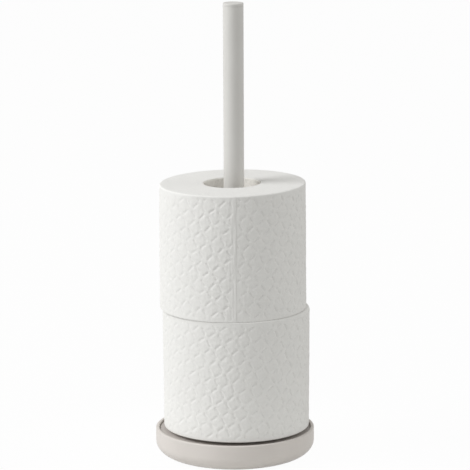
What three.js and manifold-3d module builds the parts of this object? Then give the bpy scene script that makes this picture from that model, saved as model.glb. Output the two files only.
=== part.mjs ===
// Free-standing holder for toilet rolls: a weighted round base, an upright pole and two rolls stacked on it.
// Millimetres, +Z up, origin on the ground at the middle of the base; the photographed side faces -Y.
import * as THREE from 'three';
import { mergeVertices } from 'three/addons/utils/BufferGeometryUtils.js';
import Module from 'manifold-3d';

const wasm = await Module();
wasm.setup();

// Clearance between pieces that touch
const FIT_GAP = 0.3;

// Toilet rolls
const ROLL_DIAMETER = 114.4;
const ROLL_WIDTH = 98;
const ROLL_EDGE_ROUND = 1.6;
const SHEET_STEP = 0.5;
const CORE_BORE = 44;
const CORE_WALL = 0.8;
const CORE_INSET = 0.4;
const UPPER_ROLL_SHIFT = -1.6;
const LOWER_ROLL_SHARE = 0.44;
const UPPER_TAIL_ANGLE = -87;
const LOWER_TAIL_ANGLE = 62;

// Base bowl
const TRAY_CLEARANCE = 2.5;
const RIM_WALL = 2.8;
const RIM_ROUND = 0.8;
const LEDGE_WIDTH = 1.6;
const BASE_HEIGHT = 22.8;
const BASE_CORNER_RADIUS = 11.5;
const INNER_CORNER_RADIUS = 7;
const BOWL_FLOOR = 3;
const HUB_WALL = 5;

// Floor plate and ballast
const RECESS_DEPTH = 1.5;
const PLATE_THICKNESS = 2;
const PLATE_EDGE_CHAMFER = 0.3;
const BALLAST_CLEARANCE = 0.6;
const BALLAST_HEADROOM = 2;
const BALLAST_CHAMFER = 1;

// Non-slip pads
const PAD_COUNT = 4;
const PAD_DIAMETER = 12;
const PAD_THICKNESS = 1.8;
const PAD_PROUD = 0.8;
const PAD_ROUND = 0.4;
const PAD_MARGIN = 4;
const PAD_START_ANGLE = 45;

// Pole
const TOTAL_HEIGHT = 360;
const POLE_DIAMETER = 16;
const POLE_WALL = 1;
const CAP_THICKNESS = 2;
const CAP_ROUND = 0.6;
const CAP_PLUG_LENGTH = 10;
const CAP_PLUG_WALL = 1.6;
const FLANGE_WIDTH = 5;
const FLANGE_THICKNESS = 3;
const FLANGE_ROUND = 0.8;
const SPIGOT_LENGTH = 22;
const SPIGOT_CHAMFER = 1;
const LOCATOR_WALL = 2.5;

// Clamp screw and washers
const SCREW_DIAMETER = 6;
const SCREW_HEAD_DIAMETER = 10;
const SCREW_HEAD_HEIGHT = 4;
const SCREW_HEAD_ROUND = 0.6;
const SCREW_TIP_CHAMFER = 0.8;
const SCREW_TIP_ROOM = 2;
const SOCKET_FLATS = 4;
const SOCKET_DEPTH = 2.4;
const THREAD_ENGAGEMENT = 12;
const HEAD_INSET = 0.6;
const WASHER_DIAMETER = 12.5;
const WASHER_THICKNESS = 1.6;
const LOCK_WASHER_DIAMETER = 11;
const LOCK_WASHER_THICKNESS = 1.6;
const LOCK_WASHER_SPLIT = 1.5;
const COUNTERBORE_CLEARANCE = 1.5;

// Smoothness of round forms
const BASE_SIDES = 64;
const ROLL_SIDES = 72;
const CORE_SIDES = 48;
const POLE_SIDES = 32;
const SMALL_SIDES = 24;
const CORNER_STEPS = 7;
const INNER_CORNER_STEPS = 3;
const EDGE_STEPS = 2;

// Radii that follow from the sizes above
const rollRadius = ROLL_DIAMETER / 2;
const recessRadius = rollRadius + TRAY_CLEARANCE;
const baseRadius = recessRadius + RIM_WALL;
const ledgeRadius = recessRadius - LEDGE_WIDTH;
const poleRadius = POLE_DIAMETER / 2;
const poleBoreRadius = poleRadius - POLE_WALL;
const plugRadius = poleBoreRadius - FIT_GAP;
const screwRadius = SCREW_DIAMETER / 2;
const screwHoleRadius = screwRadius + FIT_GAP;
const locatorRadius = screwHoleRadius + LOCATOR_WALL;
const flangeRadius = poleRadius + FLANGE_WIDTH;
const counterboreRadius = WASHER_DIAMETER / 2 + COUNTERBORE_CLEARANCE;
const hubRadius = counterboreRadius + HUB_WALL;
const padRadius = PAD_DIAMETER / 2;
const coreBoreRadius = CORE_BORE / 2;
const coreRadius = coreBoreRadius + CORE_WALL;

// Heights and places that follow from the sizes above
const bowlBottomZ = PAD_PROUD;
const bowlFloorZ = bowlBottomZ + BOWL_FLOOR;
const plateTopZ = BASE_HEIGHT - RECESS_DEPTH;
const plateBottomZ = plateTopZ - PLATE_THICKNESS;
const ledgeZ = plateBottomZ - FIT_GAP;
const headBottomZ = bowlBottomZ + HEAD_INSET;
const headTopZ = headBottomZ + SCREW_HEAD_HEIGHT;
const lockWasherZ = headTopZ + FIT_GAP;
const flatWasherZ = lockWasherZ + LOCK_WASHER_THICKNESS + FIT_GAP;
const counterboreTopZ = flatWasherZ + WASHER_THICKNESS + FIT_GAP;
const screwTipZ = plateBottomZ + THREAD_ENGAGEMENT;
const flangeBottomZ = plateTopZ + FIT_GAP;
const flangeTopZ = flangeBottomZ + FLANGE_THICKNESS;
const spigotTopZ = flangeTopZ + SPIGOT_LENGTH;
const capBottomZ = TOTAL_HEIGHT - CAP_THICKNESS;
const innerCorner = Math.min(INNER_CORNER_RADIUS, ledgeZ - bowlFloorZ);
const cavityRadius = ledgeRadius - innerCorner;
const lowerRollX = TRAY_CLEARANCE * LOWER_ROLL_SHARE;
const lowerRollZ = plateTopZ + FIT_GAP;
const upperRollZ = lowerRollZ + ROLL_WIDTH + FIT_GAP;

const QUARTER = Math.PI / 2;
const FULL_TURN = Math.PI * 2;
const HEXAGON = 6;

// Colours and finishes
const matteCoat = { color: 0xdcd6cf, roughness: 0.6, metalness: 0.0 };
const castIron = { color: 0x4a4a4c, roughness: 0.7, metalness: 0.8 };
const zincPlate = { color: 0xb4b6b8, roughness: 0.35, metalness: 1.0 };
const rubber = { color: 0x3a3a3a, roughness: 0.85, metalness: 0.0 };
const tissue = { color: 0xf1f0ec, roughness: 0.95, metalness: 0.0 };
const greyCard = { color: 0xb9ae9e, roughness: 0.9, metalness: 0.0 };

const holder = new THREE.Group();

function addPiece(name, geometry, finish) {
  const mesh = new THREE.Mesh(geometry, new THREE.MeshStandardMaterial(finish));
  mesh.name = name;
  holder.add(mesh);
  return mesh;
}

// A point of a profile: radius and height
function at(radius, z) {
  return new THREE.Vector2(radius, z);
}

// Points of a round corner in a profile, from one angle to the other
function corner(centreRadius, centreZ, radius, fromAngle, toAngle, steps) {
  const clockwise = toAngle < fromAngle;
  const arc = new THREE.EllipseCurve(centreRadius, centreZ, radius, radius, fromAngle, toAngle, clockwise);
  return arc.getPoints(steps);
}

// A profile turned about Z; it runs from axis to axis or closes on itself
function turned(profile, sides) {
  return new THREE.LatheGeometry(profile, sides).rotateX(QUARTER);
}

function ring(innerRadius, outerRadius, bottomZ, topZ, sides) {
  const profile = [
    at(innerRadius, bottomZ),
    at(outerRadius, bottomZ),
    at(outerRadius, topZ),
    at(innerRadius, topZ),
    at(innerRadius, bottomZ),
  ];
  return turned(profile, sides);
}

// A flat ring whose upper outer edge is broken
function chamferedRing(innerRadius, outerRadius, bottomZ, topZ, chamfer, sides) {
  const profile = [
    at(innerRadius, bottomZ),
    at(outerRadius, bottomZ),
    at(outerRadius, topZ - chamfer),
    at(outerRadius - chamfer, topZ),
    at(innerRadius, topZ),
    at(innerRadius, bottomZ),
  ];
  return turned(profile, sides);
}

// An upright cylinder or prism between two heights
function upright(radius, bottomZ, topZ, sides) {
  const geometry = new THREE.CylinderGeometry(radius, radius, topZ - bottomZ, sides);
  return geometry.rotateX(QUARTER).translate(0, 0, (bottomZ + topZ) / 2);
}

// A closed geometry as a solid to cut, without the slivers that merging its vertices leaves
function solidOf(geometry) {
  const bare = geometry.clone();
  bare.deleteAttribute('normal');
  bare.deleteAttribute('uv');
  const merged = mergeVertices(bare);
  const corners = merged.index.array;
  const triangles = [];
  for (let i = 0; i < corners.length; i += 3) {
    const triangle = [corners[i], corners[i + 1], corners[i + 2]];
    if (new Set(triangle).size === 3) triangles.push(...triangle);
  }
  return new wasm.Manifold(new wasm.Mesh({
    numProp: 3,
    vertProperties: new Float32Array(merged.attributes.position.array),
    triVerts: new Uint32Array(triangles),
  }));
}

function geometryOf(solid) {
  const mesh = solid.getMesh();
  const geometry = new THREE.BufferGeometry();
  geometry.setAttribute('position', new THREE.BufferAttribute(mesh.vertProperties, 3));
  geometry.setIndex(new THREE.BufferAttribute(mesh.triVerts, 1));
  geometry.computeVertexNormals();
  return geometry;
}

// The pads stand in a circle inside the flat part of the underside
function padCentres() {
  const circleRadius = baseRadius - BASE_CORNER_RADIUS - PAD_MARGIN - padRadius;
  const centres = [];
  for (let i = 0; i < PAD_COUNT; i += 1) {
    const angle = THREE.MathUtils.degToRad(PAD_START_ANGLE) + (FULL_TURN * i) / PAD_COUNT;
    centres.push(new THREE.Vector2(Math.cos(angle), Math.sin(angle)).multiplyScalar(circleRadius));
  }
  return centres;
}

// Round bowl with a rounded lower edge, a ledge for the plate, a hub for the screw and pockets for the pads
function baseBowl() {
  const rimRound = Math.min(RIM_ROUND, RIM_WALL / 2);
  const rimZ = BASE_HEIGHT - rimRound;
  const outerRadius = baseRadius - BASE_CORNER_RADIUS;
  const outerZ = bowlBottomZ + BASE_CORNER_RADIUS;
  const profile = [
    at(counterboreRadius, bowlBottomZ),
    ...corner(outerRadius, outerZ, BASE_CORNER_RADIUS, -QUARTER, 0, CORNER_STEPS),
    ...corner(baseRadius - rimRound, rimZ, rimRound, 0, QUARTER, EDGE_STEPS),
    ...corner(recessRadius + rimRound, rimZ, rimRound, QUARTER, 2 * QUARTER, EDGE_STEPS),
    at(recessRadius, ledgeZ),
    at(ledgeRadius, ledgeZ),
    ...corner(cavityRadius, bowlFloorZ + innerCorner, innerCorner, 0, -QUARTER, INNER_CORNER_STEPS),
    at(hubRadius, bowlFloorZ),
    at(hubRadius, ledgeZ),
    at(screwHoleRadius, ledgeZ),
    at(screwHoleRadius, counterboreTopZ),
    at(counterboreRadius, counterboreTopZ),
    at(counterboreRadius, bowlBottomZ),
  ];
  let bowl = solidOf(turned(profile, BASE_SIDES));
  const pocketRadius = padRadius + FIT_GAP;
  const pocketTopZ = PAD_THICKNESS + FIT_GAP;
  for (const centre of padCentres()) {
    const pocket = upright(pocketRadius, bowlBottomZ - PAD_PROUD, pocketTopZ, SMALL_SIDES);
    bowl = bowl.subtract(solidOf(pocket.translate(centre.x, centre.y, 0)));
  }
  return geometryOf(bowl);
}

// Plate that closes the bowl and carries the rolls
function floorPlate() {
  const holeRadius = locatorRadius + FIT_GAP;
  const outerRadius = recessRadius - FIT_GAP;
  return chamferedRing(holeRadius, outerRadius, plateBottomZ, plateTopZ, PLATE_EDGE_CHAMFER, BASE_SIDES);
}

// Iron ring that lies on the bowl's floor round the hub
function ballastRing() {
  const innerRadius = hubRadius + FIT_GAP;
  const outerRadius = cavityRadius - BALLAST_CLEARANCE;
  const bottomZ = bowlFloorZ + FIT_GAP;
  const topZ = plateBottomZ - BALLAST_HEADROOM;
  return chamferedRing(innerRadius, outerRadius, bottomZ, topZ, BALLAST_CHAMFER, CORE_SIDES);
}

// Turned foot of the pole: a locating boss, a flange on the plate and a spigot inside the tube
function poleFoot() {
  const threadTopZ = screwTipZ + SCREW_TIP_ROOM;
  const flangeRound = corner(
    flangeRadius - FLANGE_ROUND,
    flangeTopZ - FLANGE_ROUND,
    FLANGE_ROUND,
    0,
    QUARTER,
    EDGE_STEPS,
  );
  const profile = [
    at(0, threadTopZ),
    at(screwHoleRadius, threadTopZ),
    at(screwHoleRadius, plateBottomZ),
    at(locatorRadius, plateBottomZ),
    at(locatorRadius, flangeBottomZ),
    at(flangeRadius, flangeBottomZ),
    ...flangeRound,
    at(plugRadius, flangeTopZ),
    at(plugRadius, spigotTopZ - SPIGOT_CHAMFER),
    at(plugRadius - SPIGOT_CHAMFER, spigotTopZ),
    at(0, spigotTopZ),
  ];
  return turned(profile, POLE_SIDES);
}

function poleTube() {
  return ring(poleBoreRadius, poleRadius, flangeTopZ + FIT_GAP, capBottomZ - FIT_GAP, POLE_SIDES);
}

// Flat cap with a hollow plug that presses into the tube
function poleCap() {
  const plugBottomZ = capBottomZ - CAP_PLUG_LENGTH;
  const plugInnerRadius = plugRadius - CAP_PLUG_WALL;
  const profile = [
    at(0, capBottomZ),
    at(plugInnerRadius, capBottomZ),
    at(plugInnerRadius, plugBottomZ),
    at(plugRadius, plugBottomZ),
    at(plugRadius, capBottomZ),
    at(poleRadius, capBottomZ),
    ...corner(poleRadius - CAP_ROUND, TOTAL_HEIGHT - CAP_ROUND, CAP_ROUND, 0, QUARTER, EDGE_STEPS),
    at(0, TOTAL_HEIGHT),
  ];
  return turned(profile, POLE_SIDES);
}

// Socket-head screw, head down, with a hexagon socket
function clampScrew() {
  const headRadius = SCREW_HEAD_DIAMETER / 2;
  const roundRadius = headRadius - SCREW_HEAD_ROUND;
  const profile = [
    at(0, headBottomZ),
    ...corner(roundRadius, headBottomZ + SCREW_HEAD_ROUND, SCREW_HEAD_ROUND, -QUARTER, 0, EDGE_STEPS),
    at(headRadius, headTopZ),
    at(screwRadius, headTopZ),
    at(screwRadius, screwTipZ - SCREW_TIP_CHAMFER),
    at(screwRadius - SCREW_TIP_CHAMFER, screwTipZ),
    at(0, screwTipZ),
  ];
  const blank = solidOf(turned(profile, SMALL_SIDES));
  const socketRadius = SOCKET_FLATS / Math.sqrt(3);
  const socket = upright(socketRadius, headBottomZ - FIT_GAP, headBottomZ + SOCKET_DEPTH, HEXAGON);
  return geometryOf(blank.subtract(solidOf(socket)));
}

function flatWasher() {
  return ring(screwHoleRadius, WASHER_DIAMETER / 2, flatWasherZ, flatWasherZ + WASHER_THICKNESS, SMALL_SIDES);
}

// Spring washer pressed flat, with its ring split at one place
function lockWasher() {
  const outerRadius = LOCK_WASHER_DIAMETER / 2;
  const topZ = lockWasherZ + LOCK_WASHER_THICKNESS;
  const whole = solidOf(ring(screwHoleRadius, outerRadius, lockWasherZ, topZ, SMALL_SIDES));
  const split = new THREE.BoxGeometry(LOCK_WASHER_DIAMETER, LOCK_WASHER_SPLIT, 2 * LOCK_WASHER_THICKNESS);
  split.translate(outerRadius, 0, (lockWasherZ + topZ) / 2);
  return geometryOf(whole.subtract(solidOf(split)));
}

function footPad() {
  const profile = [
    at(0, 0),
    ...corner(padRadius - PAD_ROUND, PAD_ROUND, PAD_ROUND, -QUARTER, 0, EDGE_STEPS),
    at(padRadius, PAD_THICKNESS),
    at(0, PAD_THICKNESS),
  ];
  return turned(profile, SMALL_SIDES);
}

function rollCore() {
  return ring(coreBoreRadius, coreRadius, CORE_INSET, ROLL_WIDTH - CORE_INSET, CORE_SIDES);
}

// Wound paper: a ring whose outer radius grows by one sheet over a turn and drops at the sheet's free end
function rollPaper(tailAngle) {
  const boreRadius = coreRadius + FIT_GAP;
  const edgeRadius = rollRadius - ROLL_EDGE_ROUND;
  const wall = [
    ...corner(edgeRadius, ROLL_EDGE_ROUND, ROLL_EDGE_ROUND, -QUARTER, 0, EDGE_STEPS),
    ...corner(edgeRadius, ROLL_WIDTH - ROLL_EDGE_ROUND, ROLL_EDGE_ROUND, 0, QUARTER, EDGE_STEPS),
  ];
  const top = wall.length - 1;
  const positions = [];
  const triangles = [];

  function addPoint(radius, angle, z) {
    positions.push(radius * Math.cos(angle), radius * Math.sin(angle), z);
    return positions.length / 3 - 1;
  }

  function addQuad(a, b, c, d) {
    triangles.push(a, b, c, a, c, d);
  }

  // Columns of the outer wall, the last at the same angle as the first but one sheet further out
  const outer = [];
  const bore = [];
  for (let i = 0; i <= ROLL_SIDES; i += 1) {
    const share = i / ROLL_SIDES;
    const angle = THREE.MathUtils.degToRad(tailAngle) + FULL_TURN * share;
    const sheetDrop = SHEET_STEP * (1 - share);
    outer.push(wall.map((point) => addPoint(point.x - sheetDrop, angle, point.y)));
    if (i < ROLL_SIDES) {
      bore.push([addPoint(boreRadius, angle, 0), addPoint(boreRadius, angle, ROLL_WIDTH)]);
    }
  }
  outer.push(outer[0]);
  bore.push(bore[0]);

  for (let i = 0; i <= ROLL_SIDES; i += 1) {
    for (let j = 0; j < top; j += 1) {
      addQuad(outer[i][j], outer[i + 1][j], outer[i + 1][j + 1], outer[i][j + 1]);
    }
  }
  for (let i = 0; i < ROLL_SIDES; i += 1) {
    addQuad(bore[i + 1][0], bore[i][0], bore[i][1], bore[i + 1][1]);
  }
  // The two end faces; the last stretch of each also meets the foot of the free end's step
  const last = ROLL_SIDES - 1;
  for (let i = 0; i < last; i += 1) {
    addQuad(outer[i][top], outer[i + 1][top], bore[i + 1][1], bore[i][1]);
    addQuad(outer[i + 1][0], outer[i][0], bore[i][0], bore[i + 1][0]);
  }
  triangles.push(outer[last][top], outer[last + 1][top], outer[0][top]);
  addQuad(outer[last][top], outer[0][top], bore[0][1], bore[last][1]);
  triangles.push(outer[last + 1][0], outer[last][0], outer[0][0]);
  addQuad(outer[0][0], outer[last][0], bore[last][0], bore[0][0]);

  const geometry = new THREE.BufferGeometry();
  geometry.setAttribute('position', new THREE.Float32BufferAttribute(positions, 3));
  geometry.setIndex(triangles);
  geometry.computeVertexNormals();
  return geometry;
}

// Base
addPiece('base_bowl', baseBowl(), matteCoat);
addPiece('floor_plate', floorPlate(), matteCoat);
addPiece('ballast_ring', ballastRing(), castIron);
padCentres().forEach((centre, i) => {
  addPiece(`foot_pad_${i + 1}`, footPad(), rubber).position.set(centre.x, centre.y, 0);
});

// Pole and its fixing
addPiece('pole_foot', poleFoot(), zincPlate);
addPiece('pole_tube', poleTube(), matteCoat);
addPiece('pole_cap', poleCap(), matteCoat);
addPiece('clamp_screw', clampScrew(), zincPlate);
addPiece('lock_washer', lockWasher(), zincPlate);
addPiece('flat_washer', flatWasher(), zincPlate);

// Rolls, each standing a little off the pole's axis as it was dropped on
function addRoll(name, x, z, tailAngle) {
  addPiece(`${name}_core`, rollCore(), greyCard).position.set(x, 0, z);
  addPiece(`${name}_paper`, rollPaper(tailAngle), tissue).position.set(x, 0, z);
}

addRoll('lower_roll', lowerRollX, lowerRollZ, LOWER_TAIL_ANGLE);
addRoll('upper_roll', UPPER_ROLL_SHIFT, upperRollZ, UPPER_TAIL_ANGLE);

export default holder;
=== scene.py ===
# %% [markdown]
# # A stand for toilet rolls
#
# The object is a heavy round base with a shallow recess, an upright pole and two paper rolls dropped over
# it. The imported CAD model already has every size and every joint. This lesson gives it the surfaces of
# the real thing: a matte coat on the base and pole, pale card cores, and white tissue with a quilted
# pattern pressed into it. Every piece takes its size from the frame, so nothing here has to be fitted by
# eye.

# %% Load the frame
import math

import bmesh
import bpy
import numpy as np
from mathutils import Euler, Matrix, Vector


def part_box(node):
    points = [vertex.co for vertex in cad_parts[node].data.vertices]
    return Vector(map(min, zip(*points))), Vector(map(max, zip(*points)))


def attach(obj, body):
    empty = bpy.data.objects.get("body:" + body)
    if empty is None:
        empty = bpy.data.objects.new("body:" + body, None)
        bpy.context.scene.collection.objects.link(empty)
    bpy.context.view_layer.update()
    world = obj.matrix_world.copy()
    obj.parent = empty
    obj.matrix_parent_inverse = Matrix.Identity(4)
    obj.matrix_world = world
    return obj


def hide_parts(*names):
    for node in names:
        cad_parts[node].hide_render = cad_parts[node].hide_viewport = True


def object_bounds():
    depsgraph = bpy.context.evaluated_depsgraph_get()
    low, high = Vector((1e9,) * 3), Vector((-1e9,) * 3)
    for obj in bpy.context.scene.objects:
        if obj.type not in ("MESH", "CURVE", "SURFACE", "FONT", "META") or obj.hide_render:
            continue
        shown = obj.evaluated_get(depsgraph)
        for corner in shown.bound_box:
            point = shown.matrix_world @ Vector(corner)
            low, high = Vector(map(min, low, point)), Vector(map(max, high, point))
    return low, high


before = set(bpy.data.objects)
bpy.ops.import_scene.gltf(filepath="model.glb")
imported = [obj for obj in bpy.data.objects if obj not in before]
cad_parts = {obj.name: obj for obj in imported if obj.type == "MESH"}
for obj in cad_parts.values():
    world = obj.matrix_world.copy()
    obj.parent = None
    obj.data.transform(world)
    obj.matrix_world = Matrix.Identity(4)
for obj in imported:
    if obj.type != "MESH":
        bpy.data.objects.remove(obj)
cad_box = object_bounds()
MM = 0.001
print("CAD box in mm:", [[round(value / MM, 1) for value in corner] for corner in cad_box])

# %% [markdown]
# ## The camera
#
# The photograph was taken with a long lens from a little above. The pole's foot and its top, the two ends
# of the rolls and the width of the base fix where the camera stood, so the camera is set to those values
# and not moved by eye. It also leans a quarter of a degree, which is why the pole leans to the left.

# %% Camera
CAMERA_PLACE = Vector((0.67, -2538.7, 718.8)) * MM
CAMERA_DOWN = math.radians(12.05)
CAMERA_LEAN = math.radians(-0.25)
CAMERA_LENS = 254.1

lens = bpy.data.cameras.new("camera")
lens.lens = CAMERA_LENS
lens.clip_end = 100
camera = bpy.data.objects.new("camera", lens)
bpy.context.scene.collection.objects.link(camera)
tilt = Euler((math.pi / 2 - CAMERA_DOWN, 0, 0)).to_matrix()
lean = Matrix.Rotation(CAMERA_LEAN, 3, "Z")
camera.matrix_world = Matrix.Translation(CAMERA_PLACE) @ (tilt @ lean).to_4x4()
bpy.context.scene.camera = camera
print("camera at", [round(value, 3) for value in CAMERA_PLACE], "m, lens", CAMERA_LENS, "mm")

# %% [markdown]
# ## Small tools for node trees
#
# A material is a tree of nodes. Five helpers keep the later cells short: they add a node, fill a socket,
# do a sum, map one range to another and start a node group. A group is a small tree with named sockets
# that several materials can share, each with its own values, so the grain of the coat and the grain of
# the card come from one place.


# %% Node helpers
def add_node(tree, kind, **settings):
    node = tree.nodes.new("ShaderNode" + kind)
    for name, value in settings.items():
        setattr(node, name, value)
    return node


def feed(tree, source, target):
    """Links a socket to an input, or writes a plain value into it."""
    if isinstance(source, bpy.types.NodeSocket):
        tree.links.new(source, target)
    else:
        target.default_value = source


def maths(tree, operation, *values):
    node = add_node(tree, "Math", operation=operation)
    for value, socket in zip(values, node.inputs):
        feed(tree, value, socket)
    return node.outputs[0]


def ramp(tree, value, low, high, to_low=0.0, to_high=1.0):
    """A value mapped smoothly from one range to another."""
    node = add_node(tree, "MapRange", interpolation_type="SMOOTHSTEP")
    for source, socket in zip((value, low, high, to_low, to_high), node.inputs):
        feed(tree, source, socket)
    return node.outputs[0]


def new_group(name, inputs, outputs):
    """An empty shader node group with its named sockets."""
    group = bpy.data.node_groups.new(name, "ShaderNodeTree")
    for socket, kind, value in inputs:
        made = group.interface.new_socket(name=socket, in_out="INPUT", socket_type="NodeSocket" + kind)
        made.default_value = value
    for socket, kind in outputs:
        group.interface.new_socket(name=socket, in_out="OUTPUT", socket_type="NodeSocket" + kind)
    inside = group.nodes.new("NodeGroupInput")
    outside = group.nodes.new("NodeGroupOutput")
    print("node group", name, "with outputs", [socket for socket, kind in outputs])
    return group, inside, outside


# %% [markdown]
# ## Shared effects
#
# Five effects turn up in the finishes here. **Fine grain** is the small relief of a powder coat, of card
# or of rubber. **Soft mottle** is the slow drift of tone that no real surface is without. **Rubbed edge**
# finds outward edges, where hands and rolls polish a coat. **Painted hollow shade** finds the places
# that are pressed in and paints shade into them. **Flecks** are the fibres and specks in pulp and the
# pits in iron. The patterns read object coordinates in metres, so a size given in millimetres is a real
# size.
# Noise seldom leaves the middle of its range, so the ramps work between two levels near its middle.

# %% Fine grain
NOISE_LOW = 0.3
NOISE_HIGH = 0.7


def make_fine_grain():
    group, inside, outside = new_group(
        "Fine grain",
        [("Size", "Float", 1 * MM), ("Detail", "Float", 3.0), ("Stretch", "Vector", (1, 1, 1))],
        [("Height", "Float")],
    )
    place = add_node(group, "TexCoord")
    stretched = add_node(group, "VectorMath", operation="MULTIPLY")
    group.links.new(place.outputs["Object"], stretched.inputs[0])
    group.links.new(inside.outputs["Stretch"], stretched.inputs[1])
    noise = add_node(group, "TexNoise")
    group.links.new(stretched.outputs[0], noise.inputs["Vector"])
    group.links.new(maths(group, "DIVIDE", 1.0, inside.outputs["Size"]), noise.inputs["Scale"])
    group.links.new(inside.outputs["Detail"], noise.inputs["Detail"])
    group.links.new(noise.outputs["Fac"], outside.inputs["Height"])
    return group


FINE_GRAIN = make_fine_grain()


# %% Soft mottle
def make_soft_mottle():
    group, inside, outside = new_group(
        "Soft mottle",
        [("Colour", "Color", (0.8, 0.8, 0.8, 1)), ("Amount", "Float", 0.05), ("Size", "Float", 20 * MM)],
        [("Colour", "Color"), ("Tone", "Float")],
    )
    place = add_node(group, "TexCoord")
    noise = add_node(group, "TexNoise")
    noise.inputs["Detail"].default_value = 2.0
    group.links.new(place.outputs["Object"], noise.inputs["Vector"])
    group.links.new(maths(group, "DIVIDE", 1.0, inside.outputs["Size"]), noise.inputs["Scale"])
    tone = ramp(group, noise.outputs["Fac"], NOISE_LOW, NOISE_HIGH)
    darkening = maths(group, "MULTIPLY", tone, inside.outputs["Amount"])
    keep = maths(group, "SUBTRACT", 1.0, darkening)
    shade = add_node(group, "VectorMath", operation="SCALE")
    group.links.new(inside.outputs["Colour"], shade.inputs[0])
    group.links.new(keep, shade.inputs["Scale"])
    group.links.new(shade.outputs[0], outside.inputs["Colour"])
    group.links.new(tone, outside.inputs["Tone"])
    return group


SOFT_MOTTLE = make_soft_mottle()

# %% Rubbed edge
FLAT_POINT = 0.5
EDGE_START = 0.52
EDGE_FULL = 0.62


def make_rubbed_edge():
    group, inside, outside = new_group(
        "Rubbed edge",
        [("Amount", "Float", 0.5), ("Patch Size", "Float", 8 * MM)],
        [("Mask", "Float")],
    )
    shape = add_node(group, "NewGeometry")
    edge = ramp(group, shape.outputs["Pointiness"], EDGE_START, EDGE_FULL)
    place = add_node(group, "TexCoord")
    noise = add_node(group, "TexNoise")
    group.links.new(place.outputs["Object"], noise.inputs["Vector"])
    group.links.new(maths(group, "DIVIDE", 1.0, inside.outputs["Patch Size"]), noise.inputs["Scale"])
    patchy = maths(group, "MULTIPLY", edge, ramp(group, noise.outputs["Fac"], 0.35, 0.65))
    group.links.new(maths(group, "MULTIPLY", patchy, inside.outputs["Amount"]), outside.inputs["Mask"])
    return group


RUBBED_EDGE = make_rubbed_edge()


# %% Painted hollow shade
# Painted shade: a mask that is 1 where the surface is pressed in most, used to paint those places darker.
def make_painted_hollow_shade():
    group, inside, outside = new_group(
        "Painted hollow shade",
        [("Amount", "Float", 0.5), ("Depth", "Float", 0.04)],
        [("Mask", "Float")],
    )
    shape = add_node(group, "NewGeometry")
    deepest = maths(group, "SUBTRACT", FLAT_POINT, inside.outputs["Depth"])
    level = ramp(group, shape.outputs["Pointiness"], deepest, FLAT_POINT)
    hollow_shade = maths(group, "SUBTRACT", 1.0, level)
    group.links.new(maths(group, "MULTIPLY", hollow_shade, inside.outputs["Amount"]), outside.inputs["Mask"])
    return group


PAINTED_HOLLOW_SHADE = make_painted_hollow_shade()

# %% Flecks
RAREST_FLECK = 0.72
FLECK_RANGE = 0.4
FLECK_SOFTNESS = 0.08


def make_flecks():
    group, inside, outside = new_group(
        "Flecks",
        [("Size", "Float", 1 * MM), ("Share", "Float", 0.3), ("Stretch", "Vector", (1, 1, 1))],
        [("Mask", "Float")],
    )
    place = add_node(group, "TexCoord")
    stretched = add_node(group, "VectorMath", operation="MULTIPLY")
    group.links.new(place.outputs["Object"], stretched.inputs[0])
    group.links.new(inside.outputs["Stretch"], stretched.inputs[1])
    noise = add_node(group, "TexNoise")
    noise.inputs["Detail"].default_value = 1.0
    group.links.new(stretched.outputs[0], noise.inputs["Vector"])
    group.links.new(maths(group, "DIVIDE", 1.0, inside.outputs["Size"]), noise.inputs["Scale"])
    common = maths(group, "MULTIPLY", inside.outputs["Share"], FLECK_RANGE)
    edge = maths(group, "SUBTRACT", RAREST_FLECK, common)
    soft = ramp(group, noise.outputs["Fac"], edge, maths(group, "ADD", edge, FLECK_SOFTNESS))
    group.links.new(soft, outside.inputs["Mask"])
    return group


FLECKS = make_flecks()

# %% [markdown]
# ## A start for every material
#
# Each finish begins with the same few steps: a material with its shader, a group node with values, and a
# bump that turns a height into a normal. These helpers do only that. The colours and roughness that make
# a finish are written in the finish's own cell.


# %% Material helpers
def new_material(name, **constants):
    """A material with a Principled shader, whose steady values are set on its own sockets."""
    material = bpy.data.materials.new(name)
    material.use_nodes = True
    shader = material.node_tree.nodes["Principled BSDF"]
    for socket, value in constants.items():
        shader.inputs[socket.replace("_", " ")].default_value = value
    return material, material.node_tree, shader


def use_group(tree, group, **values):
    node = add_node(tree, "Group", node_tree=group)
    for name, value in values.items():
        feed(tree, value, node.inputs[name.replace("_", " ")])
    return node.outputs


def mixed(tree, share, first, second):
    """Two colours mixed by a mask."""
    node = add_node(tree, "Mix", data_type="RGBA")
    feed(tree, share, node.inputs["Factor"])
    feed(tree, first, node.inputs["A"])
    feed(tree, second, node.inputs["B"])
    return node.outputs["Result"]


def bump(tree, shader, height, distance):
    """Lets a height between 0 and 1 raise the surface by a real distance."""
    node = add_node(tree, "Bump")
    node.inputs["Distance"].default_value = distance
    tree.links.new(height, node.inputs["Height"])
    tree.links.new(node.outputs["Normal"], shader.inputs["Normal"])


def colour(red, green, blue):
    return (red, green, blue, 1.0)


# %% [markdown]
# ## The matte coat
#
# Base and pole share a soft matte coat in a warm pale grey. Seen close, such a coat has a fine grain
# like the peel of an orange. Its tone drifts a little, and its edges are a touch smoother and lighter
# where they are handled. The same recipe serves the base, its floor plate, the pole and the cap. Only the
# colour and the size of the grain change: the painted steel of the pole is a little cooler and finer than
# the moulded base.


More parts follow.
